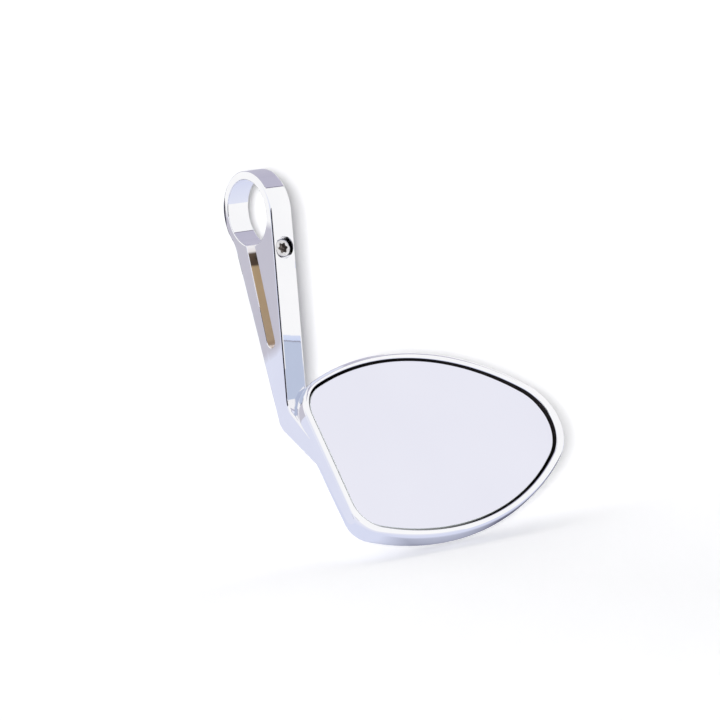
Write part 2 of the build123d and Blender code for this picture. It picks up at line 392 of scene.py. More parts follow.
def makeArm():
    outline = armOutline()
    edge = clampArm["edgeRound"]
    side = halfThickness - clampArm["sideTuck"]
    steps = clampArm["roundSteps"]
    levels = [(edge * (1 - sin(pi / 2 * k / steps)), -side + edge * (1 - cos(pi / 2 * k / steps)))
              for k in range(steps + 1)]
    levels += [(inset, -x) for inset, x in reversed(levels)]
    loops = []
    for inset, x in levels:
        loops.append([acrossPoint(point - normal * inset, x) for point, normal in outline])
    return skinLoops("castingBody", loops)


# Keyhole cut by the bore and the clamping slot
keyhole = {
    "slotWidth": 6.5,
    "slotLean": 12.8,
    "slotOffset": 2.9,
    "slotReach": 64.5,
    "edgeRound": 0.45,
    "boreSteps": 160,
    "endSteps": 24,
}


# Bore and slot as one outline, grown by the given amount
def keyholeOutline(grow):
    radius = clampArm["boreRadius"] + grow
    half = keyhole["slotWidth"] / 2 + grow
    down = leanDown(keyhole["slotLean"])
    back = leanBack(keyhole["slotLean"])
    near = keyhole["slotOffset"] - half
    far = keyhole["slotOffset"] + half
    endReach = keyhole["slotReach"] - keyhole["slotWidth"] / 2
    farAngle = asin(far / radius)
    nearAngle = asin(near / radius)
    points = []
    turnSpan = 2 * pi - (farAngle - nearAngle)
    for k in range(keyhole["boreSteps"] + 1):
        a = farAngle + turnSpan * k / keyhole["boreSteps"]
        points.append(back * (radius * sin(a)) + down * (radius * cos(a)))
    for k in range(keyhole["endSteps"] + 1):
        a = -pi / 2 + pi * k / keyhole["endSteps"]
        middle = back * keyhole["slotOffset"] + down * endReach
        points.append(middle + back * (half * sin(a)) + down * (half * cos(a)))
    return points


# Flared mouth of a cutter that leaves a rounded edge, as (growth, depth)
def roundedMouth(edge):
    angles = [radians(angle) for angle in (15, 40, 65, 90)]
    overrun = 1.0
    mouth = [(edge * (1 - sin(a)), edge * (1 - cos(a))) for a in angles]
    grow, depth = mouth[0]
    mouth.insert(0, (grow + overrun * cos(angles[0]), depth - overrun * sin(angles[0])))
    return mouth


def makeKeyholeCutter():
    levels = [(grow, depth - halfThickness) for grow, depth in roundedMouth(keyhole["edgeRound"])]
    levels += [(grow, -x) for grow, x in reversed(levels)]
    loops = [[acrossPoint(point, x) for point in keyholeOutline(grow)] for grow, x in levels]
    return skinLoops("keyholeCutter", loops)


def makeBowl():
    outline = headOutline()
    lip = mirrorHead["lipRound"]
    lipSteps = mirrorHead["lipSteps"]
    loops = []
    for k in range(lipSteps + 1):
        a = pi / 2 * k / lipSteps
        inset, depth = lip * (1 - sin(a)), lip * (1 - cos(a))
        loops.append([headPoint(point - normal * inset, depth) for point, normal in outline])
    backRadius, backEdge = mirrorHead["backRadius"], mirrorHead["backEdge"]
    loops += domeLoops(outline, mirrorHead["depth"], backRadius, backEdge, mirrorHead["backEdgeSteps"])
    return skinLoops("bowl", loops)


def makeRecessCutter():
    outline = recessOutline()
    loops = []
    for grow, depth in roundedMouth(mirrorHead["lipInnerRound"]):
        loops.append([headPoint(point + normal * grow, depth) for point, normal in outline])
    floorDepth = mirrorHead["depth"] - mirrorHead["wall"]
    floorRadius = mirrorHead["backRadius"] - mirrorHead["wall"]
    loops += domeLoops(outline, floorDepth, floorRadius, mirrorHead["floorBreak"], 1)
    return skinLoops("recessCutter", loops)


# Six-lobe cap screw across the slot
clampScrew = {
    "drop": 16.4,
    "headSink": 1.3,
    "headRadius": 4.25,
    "headHeight": 5.0,
    "headRound": 0.7,
    "roundSteps": 6,
    "topFlat": 0.45,  # flat ring inside the head's round
    "underBreak": 0.25,
    "counterboreRadius": 5.1,
    "mouthOverrun": 4.0,  # how far the counterbore's cutter stands out of the casting
    "holeRadius": 2.75,
    "threadHoleRadius": 2.55,
    "threadRunout": 1.0,
    "holeSides": 96,
    "shankRadius": 2.48,
    "shankLength": 22.0,
    "neckFlare": 0.15,
    "neckRun": 0.3,
    "plainLength": 3.0,
    "threadPitch": 0.8,
    "threadDepth": 0.42,
    "ringsPerPitch": 10,
    "tipTaper": 0.5,
    "lobeRadius": 2.3,
    "lobeSwing": 0.35,
    "lobeDepth": 2.8,
    "lobeTip": 0.5,
    "lobeTipShrink": 1.2,
    "lobeOverrun": 1.0,
    "lobeSides": 96,
    "sides": 64,
    "crispAngle": 40,
}

# Screw axis: enters the front face and crosses the slot at right angles
screwLean = radians(keyhole["slotLean"])
screwOrigin = Vector((0, -ringRadius, -clampScrew["drop"]))
screwInward = Vector((0, cos(screwLean), -sin(screwLean)))
seatDepth = clampScrew["headSink"] + clampScrew["headHeight"]
slotMiddle = leanBack(keyhole["slotLean"]) * keyhole["slotOffset"]
screwToSlot = (Vector((0, slotMiddle.x, slotMiddle.y)) - screwOrigin).dot(screwInward)


def makeScrewCutter():
    threadEnd = seatDepth + clampScrew["shankLength"] + clampScrew["threadRunout"]
    profile = [
        (clampScrew["counterboreRadius"], -clampScrew["mouthOverrun"]),
        (clampScrew["counterboreRadius"], seatDepth),
        (clampScrew["holeRadius"], seatDepth),
        (clampScrew["holeRadius"], screwToSlot),
        (clampScrew["threadHoleRadius"], screwToSlot),
        (clampScrew["threadHoleRadius"], threadEnd),
    ]
    loops = turnedLoops(screwOrigin, screwInward, headAlong, profile, clampScrew["holeSides"])
    return skinLoops("screwCutter", loops)


def makeTurnedTool(name, radius, fromDepth, toDepth):
    origin = headPoint(pivotPoint, 0)
    profile = [(radius, fromDepth), (radius, toDepth)]
    loops = turnedLoops(origin, headInward, headAlong, profile, mirrorHead["bossSides"])
    return skinLoops(name, loops)


def makeCasting():
    floorMiddle = mirrorHead["depth"] - mirrorHead["wall"] / 2
    bossTop = mirrorHead["bossTop"]
    boss = makeTurnedTool("boss", mirrorHead["bossRadius"], bossTop, floorMiddle)
    stud = makeTurnedTool("studHole", mirrorHead["studHoleRadius"], bossTop - 1, mirrorHead["studHoleEnd"])
    casting = makeArm()
    combine(casting, makeKeyholeCutter(), "DIFFERENCE")
    combine(casting, makeScrewCutter(), "DIFFERENCE")
    combine(casting, makeBowl(), "UNION")
    combine(casting, makeRecessCutter(), "DIFFERENCE")
    combine(casting, boss, "UNION")
    combine(casting, stud, "DIFFERENCE")
    smoothBetween(casting, mirrorHead["crispAngle"])
    return casting


def makeGlass():
    outline = glassOutline()
    edge = mirrorGlass["groundEdge"]
    radius = mirrorGlass["curveRadius"]

    # front surface bulges towards the viewer, deepest at its edge
    def frontDepth(flatPoint):
        run = (flatPoint - pivotPoint).length_squared
        return mirrorGlass["sink"] + radius - sqrt(radius**2 - run)

    loops = []
    rings = mirrorGlass["frontRings"]
    for share in [centreShare] + [k / rings for k in range(1, rings)]:
        ring = []
        for point, normal in outline:
            place = pivotPoint + (point - normal * edge - pivotPoint) * share
            ring.append(headPoint(place, frontDepth(place)))
        loops.append(ring)
    edgeSteps = mirrorGlass["edgeSteps"]
    for k in range(edgeSteps + 1):
        a = pi / 2 * k / edgeSteps
        ring = []
        for point, normal in outline:
            place = point - normal * (edge * (1 - sin(a)))
            ring.append(headPoint(place, frontDepth(place) + edge * (1 - cos(a))))
        loops.append(ring)
    backLoops = []
    rings = mirrorGlass["backRings"]
    for share in [1 - k / rings for k in range(rings)] + [centreShare]:
        ring = []
        for point, normal in outline:
            place = pivotPoint + (point - pivotPoint) * share
            ring.append(headPoint(place, frontDepth(place) + mirrorGlass["thickness"]))
        backLoops.append(ring)
    glass = skinLoops("mirrorGlass", loops + backLoops)
    smoothBetween(glass, mirrorGlass["crispAngle"])
    return glass


# Points of one ring round the screw's axis, with a radius for each of its evenly spread points
def screwRing(distance, radii):
    second = screwInward.cross(headAlong)
    ring = []
    for k, radius in enumerate(radii):
        a = 2 * pi * k / len(radii)
        spoke = headAlong * cos(a) + second * sin(a)
        ring.append(screwOrigin + screwInward * distance + spoke * radius)
    return ring


# Thread: the radius dips once per pitch and turns with the angle
def threadLoops():
    screw = clampScrew
    start = seatDepth + screw["plainLength"]
    end = seatDepth + screw["shankLength"]
    perPitch = screw["ringsPerPitch"]
    steps = int((end - start) / screw["threadPitch"] * perPitch)
    loops = []
    for step in range(steps + 1):
        distance = start + (end - start) * step / steps
        fade = min(1.0, step / perPitch)
        taper = max(0.0, step - (steps - perPitch)) / perPitch * screw["tipTaper"]
        radii = []
        for k in range(screw["sides"]):
            turn = (distance / screw["threadPitch"] - k / screw["sides"]) % 1.0
            groove = abs(2 * turn - 1) * screw["threadDepth"] * fade
            radii.append(screw["shankRadius"] - max(groove, taper))
        loops.append(screwRing(distance, radii))
    return loops


def makeLobeCutter():
    screw = clampScrew
    floor = screw["headSink"] + screw["lobeDepth"]
    levels = (
        (screw["headSink"] - screw["lobeOverrun"], 0.0),
        (floor, 0.0),
        (floor + screw["lobeTip"], screw["lobeTipShrink"]),
    )
    lobes = 6
    sides = screw["lobeSides"]
    wave = [screw["lobeRadius"] + screw["lobeSwing"] * cos(lobes * 2 * pi * k / sides) for k in range(sides)]
    loops = [screwRing(depth, [radius - shrink for radius in wave]) for depth, shrink in levels]
    return skinLoops("lobeCutter", loops)


def makeScrew():
    screw = clampScrew
    top = screw["headSink"]
    edge = screw["headRound"]
    headRadius, shankRadius = screw["headRadius"], screw["shankRadius"]
    profile = [(headRadius - edge - screw["topFlat"], top), (headRadius - edge, top)]
    for k in range(1, screw["roundSteps"] + 1):
        a = pi / 2 * k / screw["roundSteps"]
        profile.append((headRadius - edge * (1 - sin(a)), top + edge * (1 - cos(a))))
    profile.append((headRadius, seatDepth - screw["underBreak"]))
    profile.append((headRadius - screw["underBreak"], seatDepth))
    profile.append((shankRadius + screw["neckFlare"], seatDepth))
    profile.append((shankRadius, seatDepth + screw["neckRun"]))
    loops = turnedLoops(screwOrigin, screwInward, headAlong, profile, screw["sides"])
    piece = skinLoops("clampScrew", loops + threadLoops())
    combine(piece, makeLobeCutter(), "DIFFERENCE")
    smoothBetween(piece, screw["crispAngle"])
    return piece


# Finishes
def newFinish(name):
    finish = bpy.data.materials.new(name)
    finish.use_nodes = True
    nodes = finish.node_tree.nodes
    shader = nodes["Principled BSDF"]
    place = nodes.new("ShaderNodeTexCoord")
    return finish, nodes, finish.node_tree.links, shader, place.outputs["Object"]


def addNoise(nodes, links, place, scale, detail=3.0):
    noise = nodes.new("ShaderNodeTexNoise")
    noise.inputs["Scale"].default_value = scale
    noise.inputs["Detail"].default_value = detail
    links.new(place, noise.inputs["Vector"])
    return noise.outputs["Fac"]


def addRamp(nodes, links, value, low, high, fromPos=0.3, toPos=0.7):
    ramp = nodes.new("ShaderNodeValToRGB")
    ramp.color_ramp.elements[0].position = fromPos
    ramp.color_ramp.elements[0].color = (*low, 1)
    ramp.color_ramp.elements[1].position = toPos
    ramp.color_ramp.elements[1].color = (*high, 1)
    links.new(value, ramp.inputs["Fac"])
    return ramp.outputs["Color"]


def addRange(nodes, links, value, low, high):
    span = nodes.new("ShaderNodeMapRange")
    span.inputs["To Min"].default_value = low
    span.inputs["To Max"].default_value = high
    links.new(value, span.inputs["Value"])
    return span.outputs["Result"]


def addBump(nodes, links, value, shader, strength, distance):
    bump = nodes.new("ShaderNodeBump")
    bump.inputs["Strength"].default_value = strength
    bump.inputs["Distance"].default_value = distance
    links.new(value, bump.inputs["Height"])
    links.new(bump.outputs["Normal"], shader.inputs["Normal"])


# Two tones of a colour mixed by noise, with uneven gloss and an optional grain
def mottledFinish(name, low, high, metallic, roughness, scale, grain=0.0, grainScale=2000.0):
    finish, nodes, links, shader, place = newFinish(name)
    shader.inputs["Metallic"].default_value = metallic
    cloud = addNoise(nodes, links, place, scale)
    links.new(addRamp(nodes, links, cloud, low, high), shader.inputs["Base Color"])
    links.new(addRange(nodes, links, cloud, roughness[0], roughness[1]), shader.inputs["Roughness"])
    if grain:
        addBump(nodes, links, addNoise(nodes, links, place, grainScale), shader, grain, 0.00005)
    return finish


# Distances down the slot from the bore's axis with the colours of its walls there: tan metal, with painted
# shade round the screw and painted highlights at both ends
slotTones = {
    "from": 15.0,
    "to": 65.0,
    "scale": 220.0,
    "mottle": 0.25,
    "roughness": (0.34, 0.46),
    "metallic": 0.25,
    # near-white stops are painted highlights, the dark stops round the screw are painted shade, the tan stops
    # are the metal's own colour
    "stops": [
        (15.0, (0.86, 0.84, 0.86)),
        (65.0, (0.92, 0.84, 0.80)),
        (17.6, (0.80, 0.77, 0.77)),
        (18.6, (0.10, 0.07, 0.05)),
        (24.0, (0.08, 0.055, 0.04)),
        (25.0, (0.45, 0.335, 0.205)),
        (60.0, (0.41, 0.315, 0.22)),
        (62.6, (0.32, 0.235, 0.17)),
        (63.6, (0.92, 0.84, 0.80)),
    ],
}


# Slot walls: bare tan metal, with painted shade round the screw and painted highlights at both ends of the
# slot
def slotPaintedLightFinish(name):
    finish, nodes, links, shader, place = newFinish(name)
    along = nodes.new("ShaderNodeVectorMath")
    along.operation = "DOT_PRODUCT"
    along.inputs[1].default_value = (0, *leanDown(keyhole["slotLean"]))
    links.new(place, along.inputs[0])
    reach = nodes.new("ShaderNodeMapRange")
    reach.inputs["From Min"].default_value = slotTones["from"] * mm
    reach.inputs["From Max"].default_value = slotTones["to"] * mm
    links.new(along.outputs["Value"], reach.inputs["Value"])
    ramp = nodes.new("ShaderNodeValToRGB")
    stops = ramp.color_ramp.elements
    span = slotTones["to"] - slotTones["from"]
    for k, (distance, colour) in enumerate(slotTones["stops"]):
        position = (distance - slotTones["from"]) / span
        stop = stops[k] if k < 2 else stops.new(position)
        stop.position = position
        stop.color = (*colour, 1)
    links.new(reach.outputs["Result"], ramp.inputs["Fac"])
    cloud = addNoise(nodes, links, place, slotTones["scale"])
    mottle = nodes.new("ShaderNodeMix")
    mottle.data_type = "RGBA"
    mottle.blend_type = "MULTIPLY"
    mottle.inputs["Factor"].default_value = slotTones["mottle"]
    links.new(ramp.outputs["Color"], mottle.inputs["A"])
    links.new(addRamp(nodes, links, cloud, (0.75, 0.75, 0.75), (1, 1, 1)), mottle.inputs["B"])
    links.new(mottle.outputs["Result"], shader.inputs["Base Color"])
    links.new(addRange(nodes, links, cloud, *slotTones["roughness"]), shader.inputs["Roughness"])
    shader.inputs["Metallic"].default_value = slotTones["metallic"]
    return finish


# Finishes in two tones, with how metallic, rough and clouded they are and their grain
finishTones = {
    "chromePlate": {
        "low": (0.92, 0.92, 0.945), "high": (0.95, 0.95, 0.965),
        "metallic": 1.0, "roughness": (0.006, 0.02), "scale": 45.0,
    },
    # painted shade: the recess wall drawn near-black
    "recessPaintedShade": {
        "low": (0.010, 0.009, 0.010), "high": (0.022, 0.019, 0.020),
        "metallic": 0.0, "roughness": (0.05, 0.10), "scale": 220.0,
    },
    "mirrorSilver": {
        "low": (0.80, 0.80, 0.895), "high": (0.825, 0.825, 0.915),
        "metallic": 1.0, "roughness": (0.008, 0.016), "scale": 12.0,
    },
    "groundGlass": {
        "low": (0.50, 0.53, 0.54), "high": (0.60, 0.63, 0.64),
        "metallic": 0.0, "roughness": (0.25, 0.45), "scale": 900.0,
        "grain": 0.3,
    },
    "mirrorBacking": {
        "low": (0.10, 0.10, 0.11), "high": (0.16, 0.16, 0.17),
        "metallic": 0.0, "roughness": (0.5, 0.65), "scale": 300.0,
        "grain": 0.2,
    },
    "screwZinc": {
        "low": (0.62, 0.61, 0.62), "high": (0.80, 0.79, 0.80),
        "metallic": 1.0, "roughness": (0.16, 0.30), "scale": 700.0,
        "grain": 0.15, "grainScale": 6000.0,
    },
    # painted shade: the inside of the screw's socket drawn dark brown-grey
    "paintedShadeSocket": {
        "low": (0.17, 0.145, 0.135), "high": (0.28, 0.245, 0.225),
        "metallic": 0.9, "roughness": (0.28, 0.4), "scale": 900.0,
    },
    # thread drawn very dark
    "darkThreadTone": {
        "low": (0.07, 0.055, 0.045), "high": (0.12, 0.10, 0.08),
        "metallic": 0.8, "roughness": (0.3, 0.42), "scale": 900.0,
    },
    "carrierPlastic": {
        "low": (0.018, 0.018, 0.019), "high": (0.032, 0.032, 0.034),
        "metallic": 0.0, "roughness": (0.42, 0.58), "scale": 240.0,
        "grain": 0.35, "grainScale": 4200.0,
    },
    "padFoam": {
        "low": (0.03, 0.03, 0.03), "high": (0.06, 0.06, 0.062),
        "metallic": 0.0, "roughness": (0.85, 0.95), "scale": 1400.0,
        "grain": 0.8, "grainScale": 3200.0,
    },
    "cupNylon": {
        "low": (0.70, 0.68, 0.60), "high": (0.80, 0.78, 0.71),
        "metallic": 0.0, "roughness": (0.35, 0.5), "scale": 500.0,
        "grain": 0.2, "grainScale": 5000.0,
    },
    "clipSteel": {
        "low": (0.40, 0.40, 0.42), "high": (0.55, 0.55, 0.57),
        "metallic": 1.0, "roughness": (0.25, 0.38), "scale": 900.0,
        "grain": 0.2, "grainScale": 8000.0,
    },
    "studSteel": {
        "low": (0.45, 0.45, 0.46), "high": (0.60, 0.60, 0.61),
        "metallic": 1.0, "roughness": (0.2, 0.34), "scale": 800.0,
        "grain": 0.15, "grainScale": 7000.0,
    },
}
finishes = {name: mottledFinish(name, **tones) for name, tones in finishTones.items()}
finishes["paintedLightSlotNickel"] = slotPaintedLightFinish("paintedLightSlotNickel")


def wear(piece, body):
    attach(piece, body)


# Casting: chrome outside, bare nickel with painted shade and highlights on the slot's walls, near-black
# painted shade down in the recess
castingWear = {
    # the recess's painted shade starts at this depth below the rim
    "paintedShadeFrom": 0.5,  # depth below the rim
    "floorOverlap": 0.5,
    "slotOverlap": 0.5,
    "slack": 0.1,
    "backFacing": 0.5,  # faces that look backwards more than this belong to the outside
}
recessEdge = recessOutline()


def isSlotWall(centre):
    across = Vector((centre.y, centre.z))
    down = across.dot(leanDown(keyhole["slotLean"]))
    off = abs(across.dot(leanBack(keyhole["slotLean"])) - keyhole["slotOffset"])
    inReach = clampArm["boreRadius"] < down < keyhole["slotReach"] + castingWear["slotOverlap"]
    inWidth = off < keyhole["slotWidth"] / 2 + castingWear["slack"]
    return inReach and inWidth and abs(centre.x) < halfThickness - keyhole["edgeRound"] + castingWear["slack"]


def isRecessWall(centre, normal):
    local = centre - headOrigin
    depth = local.dot(headInward)
    floorDepth = mirrorHead["depth"] - mirrorHead["wall"] + castingWear["floorOverlap"]
    if normal.dot(headInward) > castingWear["backFacing"]:
        return False
    if not castingWear["paintedShadeFrom"] < depth < floorDepth:
        return False
    flat = Vector((local.dot(headAlong), local.dot(headUp)))
    return max((flat - point).dot(outward) for point, outward in recessEdge) < castingWear["slack"]


casting = makeCasting()
for name in ("chromePlate", "paintedLightSlotNickel", "recessPaintedShade"):
    casting.data.materials.append(finishes[name])
for face in casting.data.polygons:
    centre = face.center / mm
    face.material_index = 1 if isSlotWall(centre) else (2 if isRecessWall(centre, face.normal) else 0)
wear(casting, "housing")
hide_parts("arm_housing")
print("casting", len(casting.data.polygons), "faces")

# Glass: silver in front, ground edge, dark paint behind, told by how far a face looks to the front
glassWear = {"silverAbove": 0.93, "backingBelow": -0.9}
glass = makeGlass()
for name in ("mirrorSilver", "groundGlass", "mirrorBacking"):
    glass.data.materials.append(finishes[name])
for face in glass.data.polygons:
    facing = face.normal.dot(-headInward)
    onBack = facing < glassWear["backingBelow"]
    face.material_index = 0 if facing > glassWear["silverAbove"] else (2 if onBack else 1)
wear(glass, "glass")
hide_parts("mirror_glass")
print("mirror glass", len(glass.data.polygons), "faces")

# Screw: zinc head, painted shade in the socket, dark thread
screwWear = {"slack": 0.05}
screw = makeScrew()
for name in ("screwZinc", "paintedShadeSocket", "darkThreadTone"):
    screw.data.materials.append(finishes[name])
socketRadius = clampScrew["lobeRadius"] + clampScrew["lobeSwing"] + screwWear["slack"]
for face in screw.data.polygons:
    local = face.center / mm - screwOrigin
    depth = local.dot(screwInward)
    radius = (local - screwInward * depth).length
    inSocket = depth > clampScrew["headSink"] + screwWear["slack"] and radius < socketRadius
    face.material_index = 2 if depth > seatDepth else (1 if inSocket else 0)
wear(screw, "housing")
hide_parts("clamp_screw")
print("clamp screw", len(screw.data.polygons), "faces")

# Hidden pieces keep their CAD shapes with their own finishes
hiddenPieces = {
    "glass_pad": ("padFoam", "pad"),
    "glass_carrier": ("carrierPlastic", "carrier"),
    "bearing_cup": ("cupNylon", "cup"),
    "socket_ring": ("clipSteel", "spring_clip"),
    "ball_stud": ("studSteel", "stud"),
}
for nodeName, (finishName, slotName) in hiddenPieces.items():
    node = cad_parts[nodeName]
    node.data.materials.clear()
    node.data.materials.append(finishes[finishName])
print("hidden pieces dressed")

# Camera at the photograph's angle
photoCamera = {"lens": 200.0, "sensor": 36.0, "eye": Vector((-1.06862514, -1.55185728, 0.14417885))}
cameraRight = Vector((0.80247484, -0.59126761, -0.08022934))
cameraUp = Vector((0.13265813, 0.04569693, 0.99010788))
cameraBack = Vector((-0.58175249, -0.80517973, 0.11510709))
cameraData = bpy.data.cameras.new("photoCamera")
cameraData.lens = photoCamera["lens"]
cameraData.sensor_width = photoCamera["sensor"]
camera = bpy.data.objects.new("photoCamera", cameraData)
turn = Matrix((cameraRight, cameraUp, cameraBack)).transposed()
camera.matrix_world = Matrix.Translation(photoCamera["eye"]) @ turn.to_4x4()
scene.collection.objects.link(camera)
scene.camera = camera
print("camera set")

# Studio: paper sweep, two soft lamps, and cards that only reflections see
studio = {
    "floorDrop": 0.0015,
    "paperSize": 40.0,
    "paperColour": (0.80, 0.80, 0.81),
    "paperBend": 0.10,
    "bendSteps": 24,
    "backdropPlace": 0.045,
    "paperLift": [(0.0, 0.13), (1.0, 0.36), (0.7, 0.23), (0.93, 0.32)],  # by how far the paper faces up
    "farLift": 0.20,  # added where the backdrop runs away to the right, between these places
    "farFrom": 0.03,
    "farTo": 0.35,
    "sheetRise": 0.0008,
    "fill": 0.15,
    "lookAt": (0.045, -0.03, -0.07),
}
floorLevel = cadBox[0].z - studio["floorDrop"]
sheetLevel = floorLevel + studio["sheetRise"]  # cards that lie on the paper
pale = (1.0, 1.0, 1.0)
lavender = (0.72, 0.755, 0.92)
lightLavender = (0.76, 0.785, 0.925)
boardGrey = (0.575, 0.562, 0.64)
stripBlue = (0.527, 0.59, 0.742)
dark = (0.03, 0.026, 0.045)


# Corners of an upright card over the line from start to end
def upright(start, end, low, high):
    return [(*start, low), (*end, low), (*end, high), (*start, high)]


def lying(fromX, toX, fromY, toY, level):
    return [(fromX, fromY, level), (toX, fromY, level), (toX, toY, level), (fromX, toY, level)]


# Cards as corner points (first edge, then second edge) with the colours of those two edges
cards = {
    "lowBoard": {
        "corners": [(-0.03, 0.80, floorLevel), (-0.78, 0.80, floorLevel),
                    (-0.78, 0.80, -0.157), (-0.03, 0.80, 0.0916)],
        "low": boardGrey, "high": boardGrey,
    },
    "boardTop": {
        "corners": [(-0.03, 0.80, 0.0916), (-0.78, 0.80, -0.157),
                    (-0.78, 0.80, -0.151), (-0.03, 0.80, 0.0976)],
        "low": boardGrey, "high": pale,
    },
    "boardFoot": {
        "corners": upright((-0.03, 0.22), (-1.03, 1.22), floorLevel, floorLevel + 0.007),
        "low": lightLavender, "high": boardGrey,
    },
    "boardFace": {
        "corners": upright((-0.03, 0.22), (-1.03, 1.22), floorLevel + 0.007, floorLevel + 0.05),
        "low": boardGrey, "high": boardGrey,
    },
    "darkRail": {
        "corners": upright((-0.0752, 0.12), (0.07, 0.12), -0.03, 0.006),
        "low": (0.05, 0.045, 0.08), "high": (0.05, 0.045, 0.08),
    },
    "beigeRail": {
        "corners": upright((0.0, 0.43), (0.30, 0.43), -0.068, -0.005),
        "low": (0.61, 0.60, 0.55), "high": (0.61, 0.60, 0.55),
    },
    "rearWall": {
        "corners": [(0.02, 0.46, 0.0), (0.36, 0.46, 0.0), (1.10, 0.46, 1.5), (0.02, 0.46, 1.5)],
        "low": (0.545, 0.53, 0.635), "high": (0.50, 0.485, 0.60),
    },
    "rearCeiling": {
        "corners": lying(0.02, 1.8, -0.55, 0.46, 1.5),
        "low": (0.52, 0.505, 0.62), "high": (0.52, 0.505, 0.62),
    },
    "boxEdge": {
        "corners": lying(0.02, 1.8, -0.62, -0.55, 1.5),
        "low": (0.20, 0.19, 0.26), "high": (0.20, 0.19, 0.26),
    },
    "softPanel": {
        "corners": upright((0.328, -1.331), (0.696, -0.241), floorLevel + 0.0053, 0.05),
        "low": pale, "high": pale,
    },
    "panelSkirt": {
        "corners": upright((0.328, -1.331), (0.696, -0.241), floorLevel + 0.0016, floorLevel + 0.0053),
        "low": (0.65, 0.725, 0.93), "high": (0.70, 0.76, 0.94),
    },
    # painted shadow: dark strip where the panel stands on the floor
    "panelShadowFoot": {
        "corners": upright((0.328, -1.331), (0.696, -0.241), floorLevel, floorLevel + 0.0016),
        "low": (0.30, 0.30, 0.38), "high": (0.30, 0.30, 0.38),
    },
    "frontStrip": {
        "corners": [(0.285, -0.460, sheetLevel), (0.315, -0.440, sheetLevel),
                    (0.545, -0.767, sheetLevel), (0.515, -0.787, sheetLevel)],
        "low": stripBlue, "high": stripBlue,
    },
    "elbowCard": {
        "corners": upright((0.0085, -0.0215), (-0.0055, -0.0215), -0.0882, -0.0735),
        "low": stripBlue, "high": stripBlue, "oneSided": True,
    },
    "nearSheet": {
        "corners": lying(-0.25, 0.26, -0.215, -0.085, sheetLevel),
        "low": lavender, "high": lavender,
    },
    "leftSheet": {
        "corners": lying(-0.03, 0.0, -0.085, 0.0, sheetLevel),
        "low": lavender, "high": lavender,
    },
    # underSheet and underSheetFar: their dark end is painted shadow, the floor's shade under the head as the
    # bowl's lower wall reflects it
    "underSheet": {
        "corners": lying(0.0, 0.12, -0.085, 0.0, sheetLevel),
        "low": lavender, "high": (0.15, 0.155, 0.22), "fade": (0.06, 0.30),
        "rise": (0.0, 0.0, 1.0, 0.0),
    },
    "underSheetFar": {
        "corners": lying(0.12, 0.30, -0.085, 0.0, sheetLevel),
        "low": lavender, "high": (0.15, 0.155, 0.22), "fade": (0.06, 0.30),
    },
    "backSheet": {
        "corners": lying(-0.03, 0.60, 0.0, 0.50, sheetLevel),
        "low": (0.70, 0.735, 0.90), "high": (0.80, 0.81, 0.90),
    },
    "sideSheet": {
        "corners": [(-1.4, -0.085, sheetLevel), (-0.03, -0.085, sheetLevel),
                    (-0.03, 0.22, sheetLevel), (-1.03, 1.22, sheetLevel)],
        "low": lightLavender, "high": lightLavender,
    },
    "leftWall": {
        "corners": upright((-0.6, -0.8), (-0.6, 0.35), floorLevel, 0.55),
        "low": (0.74, 0.77, 0.92), "high": pale, "fade": (0.15, 0.75),
    },
    "darkFlag": {
        "corners": [(-0.42, -0.02, floorLevel), (-0.10, -0.364, floorLevel),
                    (-0.10, -0.364, 0.07), (-0.42, -0.02, -0.01)],
        "low": dark, "high": dark,
    },
    "cornerScreen": {
        "corners": upright((-0.09, -0.06), (-0.02, -0.14), floorLevel, -0.10),
        "low": lightLavender, "high": (0.86, 0.87, 0.96),
    },
    "lipScreen": {
        "corners": upright((-0.02, -0.14), (0.12, -0.16), floorLevel, -0.10),
        "low": lightLavender, "high": (0.86, 0.87, 0.96),
    },
    "boreSheet": {
        "corners": lying(0.017, 0.053, -0.033, 0.045, -0.028),
        "low": (0.80, 0.83, 0.95), "high": (0.70, 0.735, 0.91),
    },
    "boreScreen": {
        "corners": upright((0.018, -0.05), (0.08, -0.05), -0.03, -0.006),
        "low": pale, "high": pale,
    },
    "boreRail": {
        "corners": lying(-0.03, 0.03, 0.05, 0.12, -0.035),
        "low": dark, "high": dark,
    },
}


# Makes a surface clear from its back
def clearBehind(nodes, links, front, output):
    surface = nodes.new("ShaderNodeNewGeometry")
    clear = nodes.new("ShaderNodeBsdfTransparent")
    oneSided = nodes.new("ShaderNodeMixShader")
    links.new(surface.outputs["Backfacing"], oneSided.inputs[0])
    links.new(front, oneSided.inputs[1])
    links.new(clear.outputs["BSDF"], oneSided.inputs[2])
    links.new(oneSided.outputs["Shader"], output.inputs["Surface"])


# Glowing card whose colour runs from its first edge to its second
def cardGlow(name, card):
    finish = bpy.data.materials.new(name)
    finish.use_nodes = True
    nodes, links = finish.node_tree.nodes, finish.node_tree.links
    nodes.clear()
    spread = nodes.new("ShaderNodeAttribute")
    spread.attribute_name = "cardRise"
    fade = card.get("fade", (0.0, 1.0))
    tone = addRamp(nodes, links, spread.outputs["Fac"], card["low"], card["high"], *fade)
    glow = nodes.new("ShaderNodeEmission")
    links.new(tone, glow.inputs["Color"])
    output = nodes.new("ShaderNodeOutputMaterial")
    links.new(glow.outputs["Emission"], output.inputs["Surface"])
    if card.get("oneSided"):
        clearBehind(nodes, links, glow.outputs["Emission"], output)
    return finish


def stageSheet(name, corners, finish):
    mesh = bpy.data.meshes.new(name)
    mesh.from_pydata([Vector(c) for c in corners], [], [(0, 1, 2, 3)])
    sheet = bpy.data.objects.new(name, mesh)
    sheet.data.materials.append(finish)
    scene.collection.objects.link(sheet)
    return sheet


# A card is seen in reflections only: it neither lights nor shades the object
for cardName, card in cards.items():
    sheet = stageSheet(cardName, card["corners"], cardGlow(cardName, card))
    rise = sheet.data.attributes.new("cardRise", "FLOAT", "POINT")
    rise.data.foreach_set("value", card.get("rise", (0.0, 0.0, 1.0, 1.0)))
    sheet.visible_camera = False
    sheet.visible_diffuse = False
    sheet.visible_shadow = False


